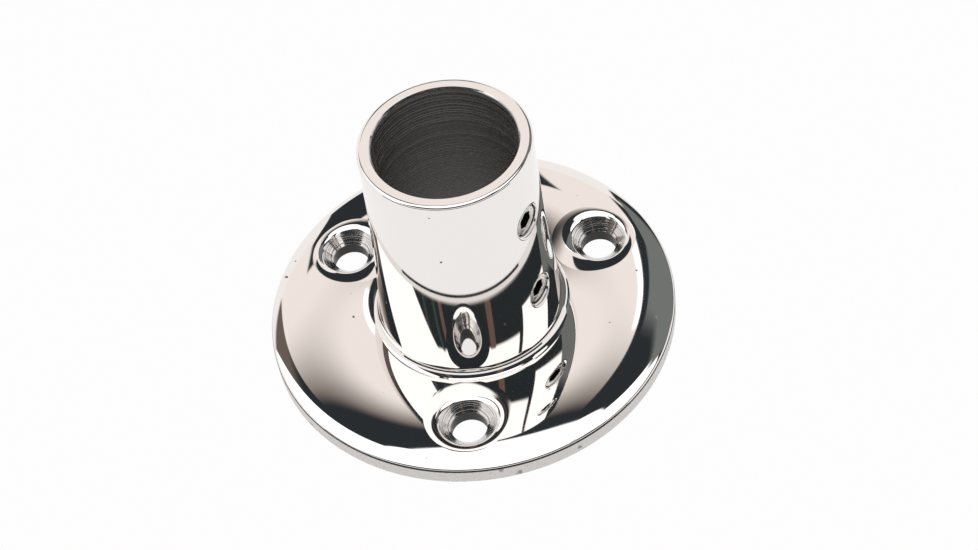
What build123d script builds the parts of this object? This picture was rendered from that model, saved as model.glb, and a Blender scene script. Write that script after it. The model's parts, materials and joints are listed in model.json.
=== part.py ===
"""Stanchion base: a round deck flange that carries an upright socket for a 25.4 mm stanchion tube.

The flange, the socket tube and the weld round its foot are polished stainless steel. Three countersunk
holes take the deck screws, and two set screws, one above the other, clamp the stanchion in its bore.
The origin is at the centre of the underside, +Z runs up the bore, and one deck hole lies on -Y.
"""
import os
from math import cos, radians, sin, sqrt, tan

from build123d import *

# Socket tube: socket_wall is its wall at the rim, and foot_thickening is how much more it has at the foot
socket_height = 47.5
bore_radius = 12.7
socket_wall = 2.5
foot_thickening = 2.2
rim_round = 0.8
bore_chamfer = 0.3

# Flange: a low ring crowned along the circle of the deck holes, with a rolled shoulder at its edge
flange_radius = 37.5
edge_height = 3.4
edge_round = 0.7
crown_height = 5.0
crown_curve_radius = 45.0
shoulder_width = 3.1
underside_chamfer = 0.3
socket_hole_gap = 0.1

# Weld round the foot of the tube: ground to a slope with a hollow at its top, and polished
weld_leg_out = 0.8
weld_leg_up = 2.0
weld_slope = 33.0

# Deck holes for M6 countersunk screws
hole_count = 3
first_hole_angle = -90.0
rim_land = 4.25
deck_hole_radius = 3.25
countersink_radius = 6.0
countersink_half_angle = 45.0
countersink_lip_round = 0.5

# Set screws, M6 with a 3 mm hexagon socket, in tapped holes with a chamfered mouth
set_screw_angle = -30.0
lower_screw_height = 16.5
screw_spacing = 18.0
thread_radius = 3.0
thread_clearance = 0.04
mouth_chamfer = 0.4
screw_recess = 0.45
point_setback = 0.1
screw_end_chamfer = 0.3
hexagon_across_flats = 3.0
hexagon_floor = 0.7

# How far a cutting shape runs past the faces that it opens, and how near an edge counts as at a height
overrun = 1.0
touch = 0.01

# How many times a value is put back into its own formula before it is taken as settled
substitutions = 20

# Sizes that follow from the ones above
socket_radius = bore_radius + socket_wall
foot_radius = socket_radius + foot_thickening
wall_curve_radius = (socket_height**2 + foot_thickening**2) / (2 * foot_thickening)
weld_toe_radius = foot_radius + weld_leg_out
hole_circle_radius = flange_radius - rim_land - countersink_radius
shoulder_radius = flange_radius - shoulder_width
screw_length = socket_wall - screw_recess - point_setback
hexagon_depth = screw_length - hexagon_floor
upper_screw_height = lower_screw_height + screw_spacing


def crown_z(radius):
    """Height of the flange's crowned top at a distance from the axis."""
    drop_centre = crown_height - crown_curve_radius
    return drop_centre + sqrt(crown_curve_radius**2 - (radius - hole_circle_radius) ** 2)


def crown_point(radius):
    """Point of the crowned top in the XZ half section."""
    return (radius, crown_z(radius))


def crown_arc(inner_radius, outer_radius):
    """Arc of the crowned top between two distances from the axis."""
    middle_radius = (inner_radius + outer_radius) / 2
    return ThreePointArc(crown_point(inner_radius), crown_point(middle_radius), crown_point(outer_radius))


def wall_radius(height):
    """Outer radius of the socket at a height: a hollow arc that is upright at the rim."""
    return socket_radius + wall_curve_radius - sqrt(wall_curve_radius**2 - (socket_height - height) ** 2)


def wall_arc(low, high):
    """Arc of the socket's outer wall between two heights, from the upper one down."""
    middle = (low + high) / 2
    return ThreePointArc((wall_radius(high), high), (wall_radius(middle), middle), (wall_radius(low), low))


def revolved(outline):
    """Full turn of a closed XZ outline about the axis of the bore."""
    return revolve(Plane.XZ * make_face(outline), Axis.Z)


def circles_at(body, height):
    """Circular edges of a body at a height, the smallest first."""
    circles = body.edges().filter_by(GeomType.CIRCLE)
    return circles.filter_by_position(Axis.Z, height - touch, height + touch).sort_by(SortBy.LENGTH)


def deck_hole_centres():
    """Centres of the deck holes at the underside."""
    turn = 360 / hole_count
    angles = [radians(first_hole_angle + turn * index) for index in range(hole_count)]
    return [(hole_circle_radius * cos(angle), hole_circle_radius * sin(angle), 0) for angle in angles]


def make_base_flange():
    """Flange body with the hole for the tube and the countersunk deck holes."""
    inner_radius = foot_radius + socket_hole_gap
    top = crown_arc(inner_radius, shoulder_radius)
    shoulder = TangentArc(top @ 1, (flange_radius, edge_height), tangent=top % 1)
    sides = Polyline(
        (flange_radius, edge_height),
        (flange_radius, underside_chamfer),
        (flange_radius - underside_chamfer, 0),
        (inner_radius, 0),
        crown_point(inner_radius),
    )
    body = revolved(top + shoulder + sides)
    body = fillet(circles_at(body, edge_height)[-1], edge_round)
    for centre in deck_hole_centres():
        body -= Pos(*centre) * deck_hole_cutter()
    lips = [edge for edge in body.edges() if is_countersink_lip(edge)]
    return fillet(lips, countersink_lip_round)


def deck_hole_cutter():
    """Drill and countersink as one turned shape, its axis on Z."""
    widening = tan(radians(countersink_half_angle))
    cone_height = (countersink_radius - deck_hole_radius) / widening
    top = crown_height + overrun
    top_radius = countersink_radius + overrun * widening
    outline = Polyline(
        (0, -overrun),
        (deck_hole_radius, -overrun),
        (deck_hole_radius, crown_height - cone_height),
        (top_radius, top),
        (0, top),
        close=True,
    )
    return revolved(outline)


def is_countersink_lip(edge):
    """True for the mouth of a countersink, where its cone meets the crowned top."""
    centre = edge.center(CenterOf.BOUNDING_BOX)
    size = edge.bounding_box().size
    off_axis = sqrt(centre.X**2 + centre.Y**2) > foot_radius
    return off_axis and size.X > 2 * deck_hole_radius + overrun and size.X < flange_radius


def make_socket_blank():
    """Solid inside the outer wall of the socket, before its bore and holes."""
    wall = wall_arc(0, socket_height)
    sides = Polyline((foot_radius, 0), (0, 0), (0, socket_height), (socket_radius, socket_height))
    return revolved(wall + sides)


def make_foot_weld():
    """Ring of weld in the corner of tube and flange.

    Repeated substitution finds where the socket's wall passes the crowned top. The hollow is the arc
    that is tangent to the wall at the top of the weld and to the slope: it starts and ends equally
    far from the corner where the wall's tangent would meet the slope.
    """
    toe = Vector(*crown_point(weld_toe_radius))
    top = Vector(wall_radius(toe.Y + weld_leg_up), toe.Y + weld_leg_up)
    corner_radius = foot_radius
    for _ in range(substitutions):
        corner_radius = wall_radius(crown_z(corner_radius))
    wall = wall_arc(crown_z(corner_radius), top.Y)
    down = wall % 0
    up_slope = Vector(-cos(radians(weld_slope)), sin(radians(weld_slope)))
    across = toe - top
    reach = (across.X * up_slope.Y - across.Y * up_slope.X) / (down.X * up_slope.Y - down.Y * up_slope.X)
    corner = top + down * reach
    slope_top = corner - up_slope * reach
    hollow = TangentArc(top, slope_top, tangent=down)
    return revolved(crown_arc(corner_radius, weld_toe_radius) + Line(toe, slope_top) + hollow + wall)


def screw_plane(height):
    """Plane at a set screw's height on the axis of the bore, its Z along the screw and outwards."""
    angle = radians(set_screw_angle)
    outwards = (cos(angle), sin(angle), 0)
    return Plane(origin=(0, 0, height), x_dir=(0, 0, 1), z_dir=outwards)


def tapped_hole_cutter(height):
    """Hole through one wall of the tube and the chamfer at its mouth."""
    length = wall_radius(height) - bore_radius + 2 * overrun
    hole = Cylinder(thread_radius, length, align=(Align.CENTER, Align.CENTER, Align.MIN))
    mouth = Cone(
        thread_radius,
        thread_radius + mouth_chamfer + overrun,
        mouth_chamfer + overrun,
        align=(Align.CENTER, Align.CENTER, Align.MIN),
    )
    cutter = Pos(0, 0, bore_radius - overrun) * hole
    cutter += Pos(0, 0, wall_radius(height) - mouth_chamfer) * mouth
    return screw_plane(height) * cutter


def make_socket_tube():
    """Tube with a plain bore, a rounded rim and the two tapped holes."""
    body = make_socket_blank()
    bore = Cylinder(bore_radius, socket_height + 2 * overrun, align=(Align.CENTER, Align.CENTER, Align.MIN))
    body -= Pos(0, 0, -overrun) * bore
    body = fillet(circles_at(body, socket_height)[-1], rim_round)
    body = chamfer(circles_at(body, socket_height)[0], bore_chamfer)
    for height in (upper_screw_height, lower_screw_height):
        body -= tapped_hole_cutter(height)
    return body


def make_set_screw(height):
    """Set screw with chamfered ends and a hexagon socket in its outer end."""
    screw_radius = thread_radius - thread_clearance
    body = Cylinder(screw_radius, screw_length, align=(Align.CENTER, Align.CENTER, Align.MIN))
    body = chamfer(body.edges().filter_by(GeomType.CIRCLE), screw_end_chamfer)
    outline = RegularPolygon(hexagon_across_flats / 2, 6, major_radius=False)
    body -= Pos(0, 0, hexagon_floor) * extrude(outline, hexagon_depth + overrun)
    return screw_plane(height) * Pos(0, 0, wall_radius(height) - screw_recess - screw_length) * body


def main():
    """Make every piece and write one STEP file for each."""
    pieces = {
        "base_flange": make_base_flange(),
        "socket_tube": make_socket_tube(),
        "foot_weld": make_foot_weld(),
        "upper_set_screw": make_set_screw(upper_screw_height),
        "lower_set_screw": make_set_screw(lower_screw_height),
    }
    os.makedirs("parts", exist_ok=True)
    for name, piece in pieces.items():
        export_step(piece, f"parts/{name}.step")


main()
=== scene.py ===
import json

import bpy
import numpy as np
from mathutils import Matrix, Vector


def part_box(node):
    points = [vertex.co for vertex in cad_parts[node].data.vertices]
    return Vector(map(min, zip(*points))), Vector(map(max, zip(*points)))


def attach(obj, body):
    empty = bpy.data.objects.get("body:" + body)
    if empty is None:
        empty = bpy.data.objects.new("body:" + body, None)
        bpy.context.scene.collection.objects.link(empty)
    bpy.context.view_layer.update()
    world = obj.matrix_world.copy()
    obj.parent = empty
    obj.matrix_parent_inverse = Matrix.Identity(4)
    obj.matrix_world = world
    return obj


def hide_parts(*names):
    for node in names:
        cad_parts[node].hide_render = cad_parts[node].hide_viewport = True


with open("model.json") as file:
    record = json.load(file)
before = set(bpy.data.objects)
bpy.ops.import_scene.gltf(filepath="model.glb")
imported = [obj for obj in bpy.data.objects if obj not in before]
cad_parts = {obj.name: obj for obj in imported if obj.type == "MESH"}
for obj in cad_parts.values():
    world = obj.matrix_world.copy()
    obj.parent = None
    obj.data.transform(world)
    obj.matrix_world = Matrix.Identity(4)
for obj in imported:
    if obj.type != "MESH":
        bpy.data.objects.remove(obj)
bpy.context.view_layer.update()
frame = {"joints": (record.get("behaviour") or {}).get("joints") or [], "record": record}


# ---- Camera -------------------------------------------------------------------------------------
# A long lens a little over 400 mm away looks down at the base from in front and slightly to its
# right, and is held a few degrees out of level.
camera_azimuth = np.radians(8.0)
camera_elevation = np.radians(50.1)
camera_roll = np.radians(-9.09)
camera_distance = 0.4063
camera_aim = Vector((0.00317, 0.00579, 0.00442))
sensor_width = 36.0
lens_length = 80.25

back = Vector((
    np.sin(camera_azimuth) * np.cos(camera_elevation),
    -np.cos(camera_azimuth) * np.cos(camera_elevation),
    np.sin(camera_elevation),
))
level_right = Vector((np.cos(camera_azimuth), np.sin(camera_azimuth), 0.0))
level_up = back.cross(level_right)
camera_right = level_right * np.cos(camera_roll) + level_up * np.sin(camera_roll)
camera_up = back.cross(camera_right)
camera_data = bpy.data.cameras.new("studio_camera")
camera_data.lens = lens_length
camera_data.sensor_width = sensor_width
camera_data.clip_start = 0.01
camera = bpy.data.objects.new("studio_camera", camera_data)
camera_turn = Matrix((camera_right, camera_up, back)).transposed().to_4x4()
camera.matrix_world = Matrix.Translation(camera_aim + back * camera_distance) @ camera_turn
bpy.context.scene.collection.objects.link(camera)
bpy.context.scene.camera = camera


# ---- Base flange --------------------------------------------------------------------------------
# The deck flange is a stainless steel casting. Its crowned top, rolled shoulder and countersinks
# are ground and buffed to a mirror, and its vertical edge and underside are left as cast.
mm = 0.001
mounts = {mount["name"]: mount for mount in frame["record"]["mounts"]}
flange_low, flange_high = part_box("base_flange")
flange_radius = flange_high[0]
crown_height = flange_high[2]
hole_circle_radius = mounts["deck_bolts"]["dims"]["pcd_mm"] / 2 * mm
hole_count = mounts["deck_bolts"]["dims"]["count"]
deck_hole_radius = mounts["deck_bolts"]["dims"]["hole_r_mm"] * mm
first_hole_angle = np.radians(-90.0)
crown_curve_radius = 45.0 * mm
shoulder_width = 3.1 * mm
edge_height = 3.4 * mm
edge_round = 0.7 * mm
underside_chamfer = 0.3 * mm
countersink_radius = 6.0 * mm
lip_width = 0.95 * mm
lip_drag = 1.9 * mm
lip_dish = 0.33 * mm
lip_inner_width = 0.6 * mm
socket_foot_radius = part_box("socket_tube")[1][0]
socket_hole_gap = 0.1 * mm
flange_bore_radius = socket_foot_radius + socket_hole_gap
lip_steps = 9
lip_settling_steps = 6
ring_crowding = 1.3
# The last finish is metal left dull in recesses, its colour painted nearly black as shade
POLISHED, TURNED, CAST, BORED, UNBUFFED_PAINTED_SHADE = 0.0, 1.0, 2.0, 3.0, 4.0


def patch(points, normals, finish=POLISHED, lay=0.0):
    """A grid of points with the surface's true normals, its finish, and how far each point lies
    across the marks of the tool that cut it, in millimetres."""
    shape = points.shape[:2]
    return {
        "points": points,
        "normals": normals / np.linalg.norm(normals, axis=-1, keepdims=True),
        "finish": np.full(shape, finish),
        "lay": np.broadcast_to(lay, shape),
    }


def piece_from(name, patches):
    """One closed mesh from patches that share their border points.

    Each grid cell is two triangles, which face the way that the patch's normals point. Points that
    coincide are merged and triangles that shrink to nothing are dropped. Every corner keeps its
    patch's own normal, so borders stay crisp.
    """
    points, corners, offset = [], [], 0
    fields = {"normals": [], "finish": [], "lay": []}
    for part in patches:
        rows, columns = part["points"].shape[:2]
        index = np.arange(rows * columns).reshape(rows, columns) + offset
        a, b, c, d = index[:-1, :-1], index[1:, :-1], index[1:, 1:], index[:-1, 1:]
        grid = part["points"]
        facing = np.cross(grid[1:, 1:] - grid[:-1, :-1], grid[:-1, 1:] - grid[1:, :-1])
        if np.sum(facing * part["normals"][:-1, :-1]) < 0:
            b, d = d, b
        corners.append(np.stack([a, b, c, a, c, d], axis=-1).reshape(-1, 3))
        points.append(part["points"].reshape(-1, 3))
        fields["normals"].append(part["normals"].reshape(-1, 3))
        fields["finish"].append(part["finish"].reshape(-1))
        fields["lay"].append(part["lay"].reshape(-1))
        offset += rows * columns
    points = np.concatenate(points)
    corners = np.concatenate(corners)
    fields = {key: np.concatenate(value) for key, value in fields.items()}
    merge_step = 2e-7
    _, first, merged = np.unique(
        np.round(points / merge_step).astype(np.int64), axis=0, return_index=True, return_inverse=True
    )
    faces = merged.reshape(-1)[corners]
    sound = (faces[:, 0] != faces[:, 1]) & (faces[:, 1] != faces[:, 2]) & (faces[:, 2] != faces[:, 0])
    faces, corners = faces[sound], corners[sound]
    mesh = bpy.data.meshes.new(name)
    mesh.from_pydata(points[first].tolist(), [], faces.tolist())
    mesh.polygons.foreach_set("use_smooth", np.ones(len(faces), dtype=bool))
    for key in ("finish", "lay"):
        values = mesh.attributes.new(key, "FLOAT", "CORNER")
        values.data.foreach_set("value", fields[key][corners.reshape(-1)].astype(np.float32))
    mesh.normals_split_custom_set(fields["normals"][corners.reshape(-1)].tolist())
    piece = bpy.data.objects.new(name, mesh)
    bpy.context.scene.collection.objects.link(piece)
    return piece


def turned(radius, height, angles, finish=POLISHED, lay=0.0):
    """Surface of revolution about Z: the profile (radius, height) carried round the angles.

    The profile runs so that the metal is on its left, and its normal is its tangent turned
    clockwise by a quarter.
    """
    slope_r = np.gradient(radius, edge_order=2)
    slope_z = np.gradient(height, edge_order=2)
    around, radius_grid = np.meshgrid(angles, radius, indexing="ij")
    height_grid = np.broadcast_to(height, around.shape)
    points = np.stack([radius_grid * np.cos(around), radius_grid * np.sin(around), height_grid], axis=-1)
    outward = np.broadcast_to(slope_z, around.shape)
    upward = np.broadcast_to(-slope_r, around.shape)
    normals = np.stack([outward * np.cos(around), outward * np.sin(around), upward], axis=-1)
    return patch(points, normals, finish, lay)


def normals_by_difference(points):
    """Normals of a grid of points, from the differences between neighbours both ways."""
    along = np.gradient(points, axis=1, edge_order=2)
    around = np.gradient(points, axis=0, edge_order=2)
    around[0] = around[-1] = (points[1] - points[-2]) / 2
    return np.cross(along, around)


def rolled(start, corner, end, steps):
    """Quadratic curves, one for each bearing, that leave a start towards a corner and reach an end
    from it: the squares of what is left and of what is done, and twice their product."""
    done = np.linspace(0.0, 1.0, steps)[None, :]
    left = 1 - done
    return left**2 * start[:, None] + 2 * done * left * corner[:, None] + done**2 * end[:, None]


def arc_profile(centre, radius, start, end, steps):
    """Points of a circular arc in the (distance from axis, height) plane."""
    angle = np.linspace(start, end, steps)
    return centre[0] + radius * np.cos(angle), centre[1] + radius * np.sin(angle)


def line_profile(start, end, steps=3):
    """Points of a straight line in the (distance from axis, height) plane."""
    return np.linspace(start[0], end[0], steps), np.linspace(start[1], end[1], steps)


def crown_z(radius):
    """Height of the crowned top: an arc whose crest runs along the circle of the deck holes."""
    return crown_height - crown_curve_radius + np.sqrt(
        crown_curve_radius**2 - (radius - hole_circle_radius) ** 2
    )


def crown_normal(x, y):
    """Normal of the crowned top, which leans along the radius by the arc's slope."""
    radius = np.hypot(x, y)
    lean = (radius - hole_circle_radius) / crown_curve_radius
    rise = np.sqrt(1.0 - lean**2)
    return np.stack([lean * x / radius, lean * y / radius, rise], axis=-1)


def sector_border(inner_radius, outer_radius, arc_steps, side_steps):
    """Closed border of one hole's share of the flange, as (angle, radius), anticlockwise from the
    outer circle: outer arc, radial side, inner arc, radial side."""
    half = np.pi / hole_count
    arc = np.linspace(half, -half, arc_steps + 1)[:-1]
    side = np.linspace(outer_radius, inner_radius, side_steps + 1)[:-1]
    angle = np.concatenate([arc, np.full(side_steps, -half), -arc, np.full(side_steps, half)])
    radius = np.concatenate([
        np.full(arc_steps, outer_radius),
        side,
        np.full(arc_steps, inner_radius),
        outer_radius + inner_radius - side,
    ])
    return np.append(angle, angle[0]), np.append(radius, radius[0])


arc_steps, side_steps, sector_rings = 96, 28, 26
shoulder_radius = flange_radius - shoulder_width
top_border = sector_border(flange_bore_radius, shoulder_radius, arc_steps, side_steps)
under_border = sector_border(flange_bore_radius, flange_radius - underside_chamfer, arc_steps, side_steps)
bearing = np.arctan2(
    hole_circle_radius * top_border[0],
    top_border[1] - hole_circle_radius,
)
socket_side = (1 - np.cos(bearing)) / 2
lip_reach = countersink_radius + lip_width + lip_drag * socket_side


def sector_grid(border, hole_radius, hole_angle, rings):
    """Plan of the flange round one deck hole: straight lines, in angle and radius, from the
    hole's circle out to the sector's border. The lines leave the hole at the border's bearings."""
    along = hole_circle_radius + hole_radius * np.cos(bearing)
    across = hole_radius * np.sin(bearing)
    share = np.linspace(0.0, 1.0, rings) ** ring_crowding
    start_angle, start_radius = np.arctan2(across, along)[:, None], np.hypot(across, along)[:, None]
    angle = hole_angle + start_angle + (border[0][:, None] - start_angle) * share
    radius = start_radius + (border[1][:, None] - start_radius) * share
    return radius * np.cos(angle), radius * np.sin(angle)


def crowned_top(hole_angle):
    """Crowned top round one deck hole, from the lip of its countersink to the sector's border."""
    x, y = sector_grid(top_border, lip_reach, hole_angle, sector_rings)
    return patch(np.stack([x, y, crown_z(np.hypot(x, y))], axis=-1), crown_normal(x, y))


def flat_underside(hole_angle):
    """Flat underside round one deck hole."""
    x, y = sector_grid(under_border, deck_hole_radius, hole_angle, sector_rings)
    points = np.stack([x, y, np.zeros_like(x)], axis=-1)
    down = np.broadcast_to(np.array([0.0, 0.0, -1.0]), points.shape)
    return patch(points, down, CAST)


def deck_hole_wall(hole_angle):
    """Countersunk hole as rings round its own axis: a lip that rolls from the crowned top into
    the cone, the cone at 45 degrees, and the straight shank hole.

    The lip is a quadratic curve whose middle point is where the cone would meet the top. The
    buffing wheel has dragged it wider and dished it on the side that faces the socket.
    """
    outward = np.array([np.cos(hole_angle), np.sin(hole_angle)])
    sideways = np.array([-outward[1], outward[0]])
    direction = np.cos(bearing)[:, None] * outward + np.sin(bearing)[:, None] * sideways

    def top_height(radius):
        return crown_z(np.linalg.norm(outward * hole_circle_radius + direction * radius[:, None], axis=1))

    def cone_z(radius):
        return crown_height + radius - countersink_radius

    def ring_points(radius, height):
        plan = outward * hole_circle_radius + direction[:, None, :] * radius[..., None]
        return np.concatenate([plan, height[..., None]], axis=-1)

    def ring_patch(radius, height, finish, lay):
        slope_r = np.gradient(radius, axis=1, edge_order=2)
        slope_z = np.gradient(height, axis=1, edge_order=2)
        leaning = direction[:, None, :] * slope_z[..., None]
        normals = np.concatenate([leaning, -slope_r[..., None]], axis=-1)
        return patch(ring_points(radius, height), normals, finish, lay)

    corner = np.full(bearing.shape, countersink_radius)
    for _ in range(lip_settling_steps):
        corner = countersink_radius + top_height(corner) - lip_dish * socket_side - crown_height
    inner = corner - lip_inner_width
    lip = ring_points(
        rolled(lip_reach, corner, inner, lip_steps),
        rolled(top_height(lip_reach), cone_z(corner), cone_z(inner), lip_steps),
    )
    lip_normals = normals_by_difference(lip)
    lip_normals *= np.sign(lip_normals[..., 2:])
    fall = np.linspace(0.0, 1.0, 12)[None, :]
    cone_r = inner[:, None] + (deck_hole_radius - inner[:, None]) * fall
    shank_z = np.broadcast_to(np.linspace(float(cone_z(deck_hole_radius)), 0.0, 6), (len(bearing), 6))
    shank_r = np.full(shank_z.shape, deck_hole_radius)
    return [
        patch(lip, lip_normals),
        ring_patch(cone_r, cone_z(cone_r), TURNED, cone_r / mm),
        # The shank hole is painted nearly black, as shade in the hole
        ring_patch(shank_r, shank_z, UNBUFFED_PAINTED_SHADE, shank_z / mm),
    ]


hole_angles = first_hole_angle + 2 * np.pi * np.arange(hole_count) / hole_count
sector_turn = np.linspace(-np.pi, np.pi, arc_steps + 1)[:-1] / hole_count
turn_angles = np.concatenate([hole_angle + sector_turn for hole_angle in hole_angles])
turn_angles = np.append(turn_angles, turn_angles[0] + 2 * np.pi)
shoulder_start = np.array([shoulder_radius, crown_z(shoulder_radius)])
shoulder_end = np.array([flange_radius, edge_height])
slope = np.arcsin((shoulder_radius - hole_circle_radius) / crown_curve_radius)
inward = np.array([-np.sin(slope), -np.cos(slope)])
chord = shoulder_end - shoulder_start
shoulder_curve = chord @ chord / (2 * chord @ inward)
shoulder_centre = shoulder_start + inward * shoulder_curve
round_x = flange_radius - edge_round
round_z = shoulder_centre[1] + np.sqrt(
    (shoulder_curve - edge_round) ** 2 - (round_x - shoulder_centre[0]) ** 2
)
round_angle = np.arctan2(round_z - shoulder_centre[1], round_x - shoulder_centre[0])
shoulder_profile = arc_profile(shoulder_centre, shoulder_curve, round_angle, np.pi / 2 - slope, steps=20)
buffed_from = np.radians(30.0)
round_profile = arc_profile((round_x, round_z), edge_round, buffed_from, round_angle, steps=6)
# Below buffed_from the round keeps the wheel's dark compound and is painted nearly black, as shade where
# it meets the cast edge
missed_and_shaded_profile = arc_profile((round_x, round_z), edge_round, 0.0, buffed_from, steps=6)
edge_profile = line_profile((flange_radius, underside_chamfer), (flange_radius, round_z), steps=8)
break_profile = line_profile((flange_radius - underside_chamfer, 0.0), (flange_radius, underside_chamfer))
bore_top = float(crown_z(flange_bore_radius))
bore_profile = line_profile((flange_bore_radius, bore_top), (flange_bore_radius, 0.0))

flange_patches = [
    turned(*shoulder_profile, turn_angles),
    turned(*round_profile, turn_angles),
    turned(*missed_and_shaded_profile, turn_angles, UNBUFFED_PAINTED_SHADE),
    turned(*edge_profile, turn_angles, CAST),
    turned(*break_profile, turn_angles, CAST),
    turned(*bore_profile, turn_angles, TURNED),
]
for hole_angle in hole_angles:
    flange_patches += [crowned_top(hole_angle), flat_underside(hole_angle), *deck_hole_wall(hole_angle)]
flange = piece_from("flange_shell", flange_patches)


class Value:
    """A node's output that takes part in Python arithmetic: each operation adds a Math node. One
    without a socket stands for its node tree."""

    def __init__(self, tree, socket=None):
        self.tree = tree
        self.socket = socket

    def feed(self, slot):
        """Links this value to a socket of a node."""
        self.tree.links.new(self.socket, slot)

    def node(self, kind, settings=None, output=0, **inputs):
        """Adds a node of a type and wraps one of its outputs. Its settings are set first. Then its
        sockets get values or links, by name with spaces as underscores, or by number after an
        underscore."""
        made = self.tree.nodes.new(kind)
        for key, value in (settings or {}).items():
            setattr(made, key, value)
        for key, value in inputs.items():
            name = key.strip("_").replace("_", " ")
            slot = made.inputs[int(name) if name.isdigit() else name]
            if isinstance(value, Value):
                value.feed(slot)
            else:
                slot.default_value = value
        return Value(self.tree, made.outputs[output] if made.outputs else None)

    def maths(self, operation, first, second=0.0):
        """Adds a Math node on one or two values."""
        return self.node("ShaderNodeMath", {"operation": operation}, _0=first, _1=second)

    def __add__(self, other):
        return self.maths("ADD", self, other)

    def __radd__(self, other):
        return self.maths("ADD", other, self)

    def __sub__(self, other):
        return self.maths("SUBTRACT", self, other)

    def __rsub__(self, other):
        return self.maths("SUBTRACT", other, self)

    def __mul__(self, other):
        return self.maths("MULTIPLY", self, other)

    def __rmul__(self, other):
        return self.maths("MULTIPLY", other, self)

    def __gt__(self, other):
        return self.maths("GREATER_THAN", self, other)

    def __lt__(self, other):
        return self.maths("LESS_THAN", self, other)


def smooth_step(value, low, high):
    """Rises smoothly from 0 to 1 as a value goes from low to high."""
    settings = {"interpolation_type": "SMOOTHSTEP"}
    return value.node("ShaderNodeMapRange", settings, Value=value, From_Min=low, From_Max=high)


def steel_material(name, colour, polish, seed):
    """Stainless steel whose finish follows the mesh: mirror-buffed, turned, as cast, bored, or, in
    recesses and low on the flange's edge round, left dull and painted nearly black as shade. Each
    finish has its own shade, roughness and relief."""
    material = bpy.data.materials.new(name)
    material.use_nodes = True
    tree = Value(material.node_tree)
    shader = material.node_tree.nodes["Principled BSDF"]
    place = tree.node("ShaderNodeTexCoord", output=3)
    finish = tree.node("ShaderNodeAttribute", {"attribute_name": "finish"}, output=2)
    lay = tree.node("ShaderNodeAttribute", {"attribute_name": "lay"}, output=2)
    unbuffed_painted_shade = finish > (BORED + UNBUFFED_PAINTED_SHADE) / 2
    bored = (finish > (CAST + BORED) / 2) * (1 - unbuffed_painted_shade)
    cast = (finish > (TURNED + CAST) / 2) * (finish < (CAST + BORED) / 2)
    cut = (finish > (POLISHED + TURNED) / 2) * (finish < (TURNED + CAST) / 2)
    buffed = finish < (POLISHED + TURNED) / 2

    def noise(scale, detail, offset):
        """Noise through the whole piece, its scale in features a metre. The offset keeps it apart
        from the piece's other noises."""
        settings = {"noise_dimensions": "4D"}
        return tree.node(
            "ShaderNodeTexNoise", settings, Vector=place, W=seed + offset, Scale=scale, Detail=detail
        )

    buffing = noise(90.0, 2.0, 0.0)
    haze = noise(700.0, 3.0, 3.0)
    mottle = noise(420.0, 2.0, 7.0)
    grain = noise(2200.0, 6.0, 5.0)
    # Only the highest peaks of a noise are pits and nicks
    pits = smooth_step(noise(900.0, 0.0, 11.0), 0.845, 0.87)
    nicks = smooth_step(noise(420.0, 3.0, 13.0), 0.66, 0.70)
    waver = 0.25
    rings_per_mm = 4.0
    rings = tree.node(
        "ShaderNodeTexNoise",
        {"noise_dimensions": "1D"},
        W=lay + haze * waver,
        Scale=rings_per_mm,
        Detail=3.0,
    )
    scores = smooth_step(rings, 0.48, 0.66)
    # Pits, nicks and tool scores are darker than the metal round them; recesses and the low edge round are
    # painted nearly black, as shade
    shade = (
        buffed * (1 - pits * 0.85)
        + cast * (0.85 - grain * 0.14 - nicks * 0.4)
        + cut * (0.95 - scores * 0.45 - mottle * 0.2)
        + bored * (0.6 + scores * 0.4)
        + unbuffed_painted_shade * 0.05
    )
    # The mirror has a faint haze, tool scores blur the cut metal, and the casting is grainy
    rough = (
        buffed * (polish + haze * 0.02)
        + cut * (0.05 + mottle * 0.1 + scores * 0.1)
        + bored * (0.22 + scores * 0.3)
        + cast * (0.42 + grain * 0.2)
        + unbuffed_painted_shade * 0.4
    )
    # Heights are shares of relief_height
    relief_height = 0.2 * mm
    relief = (
        buffed * (buffing * 0.02 - pits * 0.3)
        + cut * (scores * 0.03 + mottle * 0.25)
        + bored * rings * 0.3
        + cast * (grain - nicks * 0.8)
    )
    shader.inputs["Metallic"].default_value = 1.0
    tint = tree.node("ShaderNodeVectorMath", {"operation": "SCALE"}, Vector=colour, Scale=shade)
    tint.feed(shader.inputs["Base Color"])
    rough.feed(shader.inputs["Roughness"])
    bump = tree.node("ShaderNodeBump", Height=relief, Strength=1.0, Distance=relief_height)
    bump.feed(shader.inputs["Normal"])
    return material


buffed_roughness = 0.02
steel_colour = (0.85, 0.82, 0.80)
flange.data.materials.append(steel_material("flange_steel", steel_colour, buffed_roughness, 1.0))
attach(flange, "weldment")
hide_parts("base_flange")


# ---- Foot weld ----------------------------------------------------------------------------------
# A ring of weld fills the corner between the flange and the tube. It is ground to a slope with a
# tight hollow into the tube's wall, stops in a crisp line on the flange, and is buffed with them.
weld_low, weld_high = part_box("foot_weld")
weld_toe = np.array([weld_high[0], float(crown_z(weld_high[0]))])
weld_corner_height = weld_low[2]
socket_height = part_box("socket_tube")[1][2]
bore_radius = mounts["tube_socket"]["dims"]["r_mm"] * mm
socket_wall = 2.5 * mm
socket_radius = bore_radius + socket_wall
foot_thickening = socket_foot_radius - socket_radius
wall_curve_radius = (socket_height**2 + foot_thickening**2) / (2 * foot_thickening)


def wall_radius(height):
    """Outer radius of the socket at a height: a hollow arc that is upright at the rim."""
    return socket_radius + wall_curve_radius - np.sqrt(
        wall_curve_radius**2 - (socket_height - height) ** 2
    )


def wall_slope(height):
    """How fast the socket widens downwards at a height."""
    return (socket_height - height) / np.sqrt(wall_curve_radius**2 - (socket_height - height) ** 2)


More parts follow.
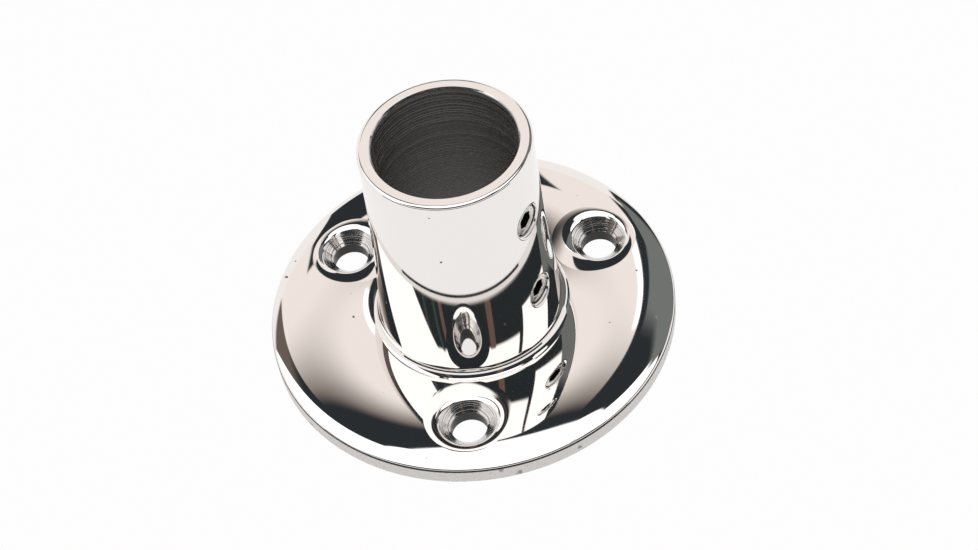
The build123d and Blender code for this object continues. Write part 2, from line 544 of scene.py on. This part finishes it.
weld_top = np.array([float(wall_radius(weld_high[2])), weld_high[2]])
wall_down = np.array([float(wall_slope(weld_top[1])), -1.0])
wall_down /= np.linalg.norm(wall_down)
weld_slope = np.radians(33.0)
up_slope = np.array([-np.cos(weld_slope), np.sin(weld_slope)])
corner_reach = np.linalg.solve(np.stack([wall_down, -up_slope], axis=1), weld_toe - weld_top)[0]
slope_top = weld_top + (wall_down - up_slope) * corner_reach
wall_away = np.array([-wall_down[1], wall_down[0]])
leg = slope_top - weld_top
hollow_radius = leg @ leg / (2 * leg @ wall_away)
hollow_centre = weld_top + wall_away * hollow_radius
hollow_spokes = np.stack([slope_top, weld_top]) - hollow_centre
slope_angle, top_angle = np.arctan2(hollow_spokes[:, 1], hollow_spokes[:, 0]) % (2 * np.pi)
hollow_profile = arc_profile(hollow_centre, hollow_radius, slope_angle, top_angle, steps=24)
slope_profile = line_profile(weld_toe, slope_top, steps=5)
corner_radius = float(wall_radius(weld_corner_height))
seat_radius = np.linspace(corner_radius, weld_toe[0], 8)
wall_height = np.linspace(weld_top[1], float(crown_z(corner_radius)), 8)
weld = piece_from("weld_ring", [
    turned(*slope_profile, turn_angles),
    turned(*hollow_profile, turn_angles),
    turned(seat_radius, crown_z(seat_radius), turn_angles, CAST),
    turned(wall_radius(wall_height), wall_height, turn_angles, CAST),
])
weld.data.materials.append(steel_material("weld_steel", steel_colour, buffed_roughness, 2.0))
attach(weld, "weldment")
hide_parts("foot_weld")


# ---- Socket tube --------------------------------------------------------------------------------
# The socket is a thick stainless tube whose outer wall spreads a little towards the foot. It is
# buffed outside and on its rim, and its plain bore takes the stanchion. Two tapped holes, one above
# the other, go through its wall for the set screws.
rim_round = 0.8 * mm
bore_chamfer = 0.3 * mm
joints = {joint["name"]: joint for joint in frame["joints"]}
screw_axis = -Vector(joints["upper_screw_travel"]["axis"])
screw_angle = np.arctan2(screw_axis.y, screw_axis.x)
screw_heights = []
for node in ("lower_set_screw", "upper_set_screw"):
    node_low, node_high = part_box(node)
    screw_heights.append((node_low[2] + node_high[2]) / 2)
screw_radius = (node_high[2] - node_low[2]) / 2
thread_clearance = 0.04 * mm
tapped_radius = screw_radius + thread_clearance
mouth_chamfer = 0.4 * mm
mouth_lip = 0.12 * mm
thread_pitch = 1.0 * mm
thread_cut = 0.2 * mm
thread_fade_share = 1 / 12
window_half_height = 4.6 * mm
window_half_angle = window_half_height / socket_radius
window_steps = 28
window_rings = 12
rest_steps = 300
plain_steps = 12
mouth_settling_steps = 12


def window_border():
    """Closed border of the square window round a tapped hole, from -1 to 1 across and up."""
    run = np.linspace(-1.0, 1.0, window_steps + 1)[:-1]
    edge = np.ones(window_steps)
    across = np.concatenate([run, edge, -run, -edge])
    up = np.concatenate([-edge, run, edge, -run])
    return np.append(across, across[0]), np.append(up, up[0])


window_across, window_up = window_border()
hole_bearing = np.arctan2(window_up, window_across)


def wall_depth(outline, height):
    """Distance of the socket's outer wall from its axis, along the screw, at points on an outline
    round the screw."""
    radius = wall_radius(height + outline * np.sin(hole_bearing))
    return np.sqrt(radius**2 - (outline * np.cos(hole_bearing)) ** 2)


def mouth_outline(start, height):
    """Distance from the screw's axis at which a bore that widens at 45 degrees from a depth meets
    the outer wall. Repeated substitution settles it in a few steps."""
    outline = np.full(hole_bearing.shape, tapped_radius)
    for _ in range(mouth_settling_steps):
        outline = tapped_radius + np.maximum(wall_depth(outline, height) - start, 0.0)
    return outline


def wall_window(radius_at, outline, height, inside):
    """The tube's wall in the window round one tapped hole, from the hole's outline to the window's
    border. Every point lies on the wall, whose radius is a function of its height."""
    share = np.linspace(0.0, 1.0, window_rings)[None, :]
    start_height = (outline * np.sin(hole_bearing))[:, None]
    start_across = (outline * np.cos(hole_bearing))[:, None]
    start_angle = np.arcsin(start_across / radius_at(height + start_height))
    around = screw_angle + start_angle + (window_across[:, None] * window_half_angle - start_angle) * share
    level = height + start_height + (window_up[:, None] * window_half_height - start_height) * share
    radius = radius_at(level)
    points = np.stack([radius * np.cos(around), radius * np.sin(around), level], axis=-1)
    if inside:
        inward = np.stack([-np.cos(around), -np.sin(around), np.zeros_like(around)], axis=-1)
        return patch(points, inward, BORED, level / mm)
    return patch(points, np.stack([np.cos(around), np.sin(around), wall_slope(level)], axis=-1))


def bore_wall_radius(height):
    """Radius of the plain bore, which is the same at every height."""
    return np.full_like(height, bore_radius)


def on_screw(depth, distance, bearing, height):
    """Points by depth along a screw's axis, distance from it and bearing round it."""
    outward = np.array([np.cos(screw_angle), np.sin(screw_angle), 0.0])
    sideways = np.array([-outward[1], outward[0], 0.0])
    upward = np.array([0.0, 0.0, 1.0])
    depth, distance, bearing = np.broadcast_arrays(depth, distance, bearing)
    across = (distance * np.cos(bearing))[..., None]
    up = (distance * np.sin(bearing))[..., None]
    return depth[..., None] * outward + across * sideways + (up + height) * upward


def tapped_hole(height):
    """Wall of one tapped hole: buffed lip, chamfered mouth, and a thread.

    The thread is a triangular wave in depth less a turn's share of the bearing, cut outwards from
    the hole, and it fades out at both ends.
    """
    start = float(wall_radius(height)) - mouth_chamfer

    def cone_at(outline):
        return start + outline - tapped_radius

    corner = mouth_outline(start, height)
    outer = corner + mouth_lip
    half_chamfer = (corner - tapped_radius) / 2
    inner = corner - np.minimum(mouth_lip, half_chamfer)
    lip_r = rolled(outer, corner, inner, steps=6)
    lip_x = rolled(wall_depth(outer, height), cone_at(corner), cone_at(inner), steps=6)
    fall = np.linspace(0.0, 1.0, 4)[None, :]
    chamfer_r = inner[:, None] + (tapped_radius - inner[:, None]) * fall
    bore_wall = np.sqrt(bore_radius**2 - (tapped_radius * np.cos(hole_bearing)) ** 2)[:, None]
    depth_share = np.linspace(0.0, 1.0, 60)[None, :]
    thread_x = start + (bore_wall - start) * depth_share
    phase = (thread_x / thread_pitch - hole_bearing[:, None] / (2 * np.pi)) % 1.0
    fade = np.minimum(1.0, np.minimum(depth_share, 1 - depth_share) / thread_fade_share)
    thread_r = tapped_radius + thread_cut * fade * (1 - np.abs(2 * phase - 1))
    lip, chamfer, thread = (
        on_screw(depth, distance, hole_bearing[:, None], height)
        for depth, distance in ((lip_x, lip_r), (cone_at(chamfer_r), chamfer_r), (thread_x, thread_r))
    )
    return outer, [
        patch(lip, normals_by_difference(lip)),
        patch(chamfer, normals_by_difference(chamfer), TURNED, chamfer_r / mm),
        patch(thread, normals_by_difference(thread), TURNED, thread_x / mm),
    ]


lower, upper = screw_heights
row_stops = [
    0.0,
    lower - window_half_height,
    lower + window_half_height,
    upper - window_half_height,
    upper + window_half_height,
    socket_height - rim_round,
]
row_counts = [plain_steps, window_steps, plain_steps, window_steps, plain_steps]
strip_angles = screw_angle + np.linspace(-window_half_angle, window_half_angle, window_steps + 1)
rest_angles = screw_angle + np.linspace(window_half_angle, 2 * np.pi - window_half_angle, rest_steps + 1)
all_angles = np.concatenate([strip_angles[:-1], rest_angles])


def wall_rows(radius_at, upward):
    """Plain stretches of the tube's wall: the whole height away from the holes, and the rows
    between the windows in the strip that holds them."""
    stops = row_stops if upward else [*row_stops[:-1], socket_height - bore_chamfer]
    spans = [np.linspace(low, high, count + 1) for low, high, count in zip(stops, stops[1:], row_counts)]
    rows = np.concatenate([spans[0], *[span[1:] for span in spans[1:]]])
    pieces = [(rest_angles, rows)] + [(strip_angles, spans[index]) for index in (0, 2, 4)]
    finish = POLISHED if upward else BORED
    made = []
    for angles, heights in pieces:
        heights = heights if upward else heights[::-1]
        lay = 0.0 if upward else heights / mm
        made.append(turned(radius_at(heights), heights, angles, finish, lay))
    return made


round_centre = (float(wall_radius(socket_height - rim_round)) - rim_round, socket_height - rim_round)
rim_round_profile = arc_profile(round_centre, rim_round, 0.0, np.pi / 2, steps=10)
mouth_edge = (bore_radius + bore_chamfer, socket_height)
rim_profile = line_profile((round_centre[0], socket_height), mouth_edge, steps=6)
mouth_profile = line_profile(mouth_edge, (bore_radius, socket_height - bore_chamfer))
foot_profile = line_profile((bore_radius, 0.0), (socket_foot_radius, 0.0))
tube_patches = [
    *wall_rows(wall_radius, True),
    *wall_rows(bore_wall_radius, False),
    turned(*rim_round_profile, all_angles),
    turned(*rim_profile, all_angles),
    turned(*mouth_profile, all_angles, TURNED, mouth_profile[0] / mm),
    turned(*foot_profile, all_angles, TURNED, foot_profile[0] / mm),
]
for height in screw_heights:
    mouth, hole_patches = tapped_hole(height)
    bore_outline = np.full(hole_bearing.shape, tapped_radius)
    tube_patches += [
        wall_window(wall_radius, mouth, height, inside=False),
        wall_window(bore_wall_radius, bore_outline, height, inside=True),
        *hole_patches,
    ]
tube = piece_from("socket_shell", tube_patches)
tube.data.materials.append(steel_material("tube_steel", steel_colour, buffed_roughness, 3.0))
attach(tube, "weldment")
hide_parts("socket_tube")


# ---- Set screws ---------------------------------------------------------------------------------
# Two M6 set screws clamp the stanchion. Each is turned from stainless bar, with a rolled thread, a
# hollow point and a broached hexagon socket, and sits just under the mouth of its tapped hole.
screw_steps = 96
screw_bearing = np.linspace(0.0, 2 * np.pi, screw_steps + 1)
thread_depth = 0.45 * mm
thread_run_out = 0.25 * mm
screw_end_chamfer = 0.3 * mm
hexagon_flat = 1.5 * mm
hexagon_mouth = 0.12 * mm
hexagon_depth = 1.2 * mm
hexagon_point_depth = 0.25 * mm
cup_radius = 1.6 * mm
cup_depth = 0.35 * mm


def screw_span(node):
    """Depths along the screw's axis of its two ends: its far corner less what its width adds."""
    low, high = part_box(node)
    outward = np.array([np.cos(screw_angle), np.sin(screw_angle)])
    flank = screw_radius * abs(outward[1])
    return (low[0] + flank) / outward[0], (high[0] - flank) / outward[0]


def set_screw(name, node, height):
    """One set screw, from its hollow point out to the floor of its hexagon socket."""
    inner, outer = screw_span(node)
    origin = on_screw(0.0, 0.0, 0.0, height)
    chamfer_radius = screw_radius - screw_end_chamfer

    def turned_face(start, end, steps, toward):
        """Ring between two (distance, depth) points. Toward is a point that it faces."""
        distance, depth = line_profile(start, end, steps)
        points = on_screw(depth[None, :], distance[None, :], screw_bearing[:, None], height)
        across = np.array([end[1] - start[1], start[0] - end[0]])
        middle = (np.array(start) + np.array(end)) / 2
        across = across * np.sign(across @ (np.array(toward) - middle))
        normals = on_screw(across[1], across[0], screw_bearing[:, None], height) - origin
        normals = np.broadcast_to(normals, points.shape)
        return patch(points, normals, TURNED, distance / mm)

    thread_start, thread_end = inner + screw_end_chamfer, outer - screw_end_chamfer
    thread_x = np.linspace(thread_start, thread_end, 40)[None, :]
    phase = (thread_x / thread_pitch - screw_bearing[:, None] / (2 * np.pi)) % 1.0
    from_ends = np.minimum(thread_x - thread_x[:, :1], thread_x[:, -1:] - thread_x)
    fade = np.minimum(1.0, from_ends / thread_run_out)
    thread_r = screw_radius - thread_depth * fade * (1 - np.abs(2 * phase - 1))
    thread = on_screw(thread_x, thread_r, screw_bearing[:, None], height)
    thread_normals = normals_by_difference(thread)
    outwards = thread - on_screw(thread_x, 0.0, screw_bearing[:, None], height)
    if np.sum(thread_normals * outwards) < 0:
        thread_normals = -thread_normals
    far = 10 * screw_radius
    patches = [
        patch(thread, thread_normals, TURNED, thread_x / mm),
        turned_face((screw_radius, thread_start), (chamfer_radius, inner), 3, (far, inner - far)),
        turned_face((chamfer_radius, inner), (cup_radius, inner), 4, (0.0, inner - far)),
        turned_face((cup_radius, inner), (0.0, inner + cup_depth), 6, (0.0, inner - far)),
        turned_face((screw_radius, thread_end), (chamfer_radius, outer), 3, (far, outer + far)),
    ]
    floor, bevel_foot = outer - hexagon_depth, outer - hexagon_mouth
    sides = 6
    side_turn = 2 * np.pi / sides
    across_side = np.linspace(-side_turn / 2, side_turn / 2, screw_steps // sides + 1)[:, None]
    for side in range(sides):
        flat_bearing = side_turn * (side + 1)
        bearing = flat_bearing + across_side
        hexagon = hexagon_flat / np.cos(bearing - flat_bearing)
        share = np.linspace(0.0, 1.0, 6)[None, :]
        mouth = hexagon + hexagon_mouth
        face_r = chamfer_radius + (mouth - chamfer_radius) * share
        face = on_screw(outer, face_r, bearing, height)
        bevel = on_screw(outer - hexagon_mouth * share, mouth - hexagon_mouth * share, bearing, height)
        wall = on_screw(bevel_foot + (floor - bevel_foot) * share, hexagon, bearing, height)
        base_x = floor - hexagon_point_depth * share
        base = on_screw(base_x, hexagon * (1 - share), bearing, height)
        out = on_screw(1.0, 0.0, 0.0, 0.0)
        inward = -on_screw(0.0, 1.0, flat_bearing, 0.0)
        for points, normal, finish, lay in (
            (face, out, TURNED, face_r / mm),
            (bevel, out + inward, TURNED, 0.0),
            # The socket's walls and floor are painted nearly black, as shade in the recess
            (wall, inward, UNBUFFED_PAINTED_SHADE, 0.0),
            (base, out * hexagon_flat + inward * hexagon_point_depth, UNBUFFED_PAINTED_SHADE, 0.0),
        ):
            patches.append(patch(points, np.broadcast_to(normal, points.shape), finish, lay))
    return piece_from(name, patches)


screw_colour = (0.80, 0.775, 0.72)
screw_roughness = 0.05
screw_steel = steel_material("screw_steel", screw_colour, screw_roughness, 4.0)
for name, node, body, height in (
    ("lower_screw_shell", "lower_set_screw", "lower_screw", screw_heights[0]),
    ("upper_screw_shell", "upper_set_screw", "upper_screw", screw_heights[1]),
):
    screw = set_screw(name, node, height)
    screw.data.materials.append(screw_steel)
    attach(screw, body)
    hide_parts(node)


# ---- Table and studio ---------------------------------------------------------------------------
# The base stands on a white table in a studio of soft boxes and dark drapes. The table glows
# evenly, save for a dark disc of painted shade under the socket's bore. The mirror finish shows the
# studio; the camera itself sees only the table and a pale backdrop.
table_reach = 3.0
table_glow = 0.985
# Under the socket's bore the table's glow is painted down to a dark disc, as shade
painted_bore_shade = 0.14
shade_radius = bore_radius + 1.2 * mm
shade_soft = 1.0 * mm
table_mesh = bpy.data.meshes.new("table")
table_corners = [(x * table_reach, y * table_reach, 0.0) for x, y in ((-1, -1), (1, -1), (1, 1), (-1, 1))]
table_mesh.from_pydata(table_corners, [], [(0, 1, 2, 3)])
table = bpy.data.objects.new("table", table_mesh)
bpy.context.scene.collection.objects.link(table)
table_material = bpy.data.materials.new("table")
table_material.use_nodes = True
table_material.node_tree.nodes.clear()
tree = Value(table_material.node_tree)
place = tree.node("ShaderNodeTexCoord", output=3)
from_axis = tree.node("ShaderNodeVectorMath", {"operation": "LENGTH"}, output=1, Vector=place)
unshaded_table = smooth_step(from_axis, shade_radius - shade_soft, shade_radius)
glow = tree.node("ShaderNodeEmission", Strength=painted_bore_shade + unshaded_table * (table_glow - painted_bore_shade))
tree.node("ShaderNodeOutputMaterial", Surface=glow)
table_mesh.materials.append(table_material)

studio = bpy.data.worlds.new("studio")
studio.use_nodes = True
studio.node_tree.nodes.clear()
tree = Value(studio.node_tree)
direction = tree.node("ShaderNodeTexCoord", output=0)
east, north, rise = (
    tree.node("ShaderNodeSeparateXYZ", output=index, Vector=direction) for index in range(3)
)
degrees = 180.0 / np.pi
bearing_east = tree.maths("ARCTAN2", east, north) * degrees
elevation = tree.maths("ARCSINE", rise) * degrees
from_front = 180 - tree.maths("ABSOLUTE", bearing_east)
panel_rise = elevation - bearing_east * 0.17
left_box_edge = bearing_east + (elevation - 30) * 0.6


def within(value, low, high, soft):
    """1 between low and high, with soft edges of a width in degrees."""
    after_low = smooth_step(value, low - soft / 2, low + soft / 2)
    return after_low * (1 - smooth_step(value, high - soft / 2, high + soft / 2))


def stripe(middle, width):
    """An upright stripe of the front, by its bearing and width in degrees."""
    return within(bearing_east, middle - width / 2, middle + width / 2, 1.5) * within(elevation, 25, 57, 2)


left_box = within(bearing_east, -150, -58, 1) * smooth_step(left_box_edge, -119, -117)

drape = (0.026, 0.032, 0.036, 1.0)
side_drape = (0.19, 0.205, 0.2, 1.0)
warm_panel = (1.0, 0.94, 0.90, 1.0)
panel_edge = (0.16, 0.125, 0.11, 1.0)
brown = (0.17, 0.11, 0.09, 1.0)
green = (0.05, 0.08, 0.075, 1.0)
white = (1.5, 1.5, 1.5, 1.0)
low_white = (1.02, 1.0, 0.99, 1.0)
backdrop = (0.93, 0.93, 0.93, 1.0)

# Each layer covers the ones before it. Bearings run from -180 to 180 degrees, with 0 at the back
# and 90 at the right, and elevations from the horizon up. Each span is its low end, its high end
# and the softness of its edges.
layers = (
    # Box above the front, and the stripes of the drape below it
    (white, within(from_front, -1, 66, 1) * within(elevation, 56, 91, 2)),
    (green, stripe(-130, 3)),
    (green, stripe(-142, 3)),
    (brown, stripe(-150, 4)),
    (brown, stripe(153, 7)),
    # Warm panel at the back, with its darker frame, and a narrow box beside it
    (panel_edge, within(bearing_east, -58, -42, 1) * within(elevation, 15, 47, 8)),
    (panel_edge, within(bearing_east, -42, 12, 1) * within(panel_rise, 20, 62, 4)),
    (warm_panel, within(bearing_east, -42, 12, 1) * within(panel_rise, 8, 57, 14)),
    (white, within(bearing_east, 9, 12, 0.5) * within(elevation, 40, 54, 1)),
    # Boxes at the left, at the right and overhead
    (white, left_box * within(elevation, 10, 69, 1)),
    (white, within(bearing_east, 54, 108, 1) * within(elevation, 46, 69, 1)),
    (white, within(elevation, 68.5, 92, 1)),
    # White sweep all round, the drapes that hang before it at the back and right, and the front edge
    (low_white, 1 - smooth_step(elevation, 26, 30)),
    (drape, within(bearing_east, -26, 0, 0.7) * within(elevation, 12.5, 41.5, 1)),
    (drape, within(bearing_east, 14.5, 60, 1) * within(elevation, 13, 25, 1)),
    (side_drape, within(bearing_east, 15.5, 60, 1) * within(elevation, 21, 53, 5)),
    (drape, within(from_front, -1, 75, 2) * within(elevation, -5, 12, 1)),
    # What the camera itself sees behind the table
    (backdrop, tree.node("ShaderNodeLightPath", output=0)),
)
sky = drape
for shade, mask in layers:
    sky = tree.node("ShaderNodeMix", {"data_type": "RGBA"}, output=2, _0=mask, _6=sky, _7=shade)
air = tree.node("ShaderNodeBackground", Color=sky)
tree.node("ShaderNodeOutputWorld", Surface=air)
bpy.context.scene.world = studio
bpy.context.scene.view_settings.view_transform = "Standard"
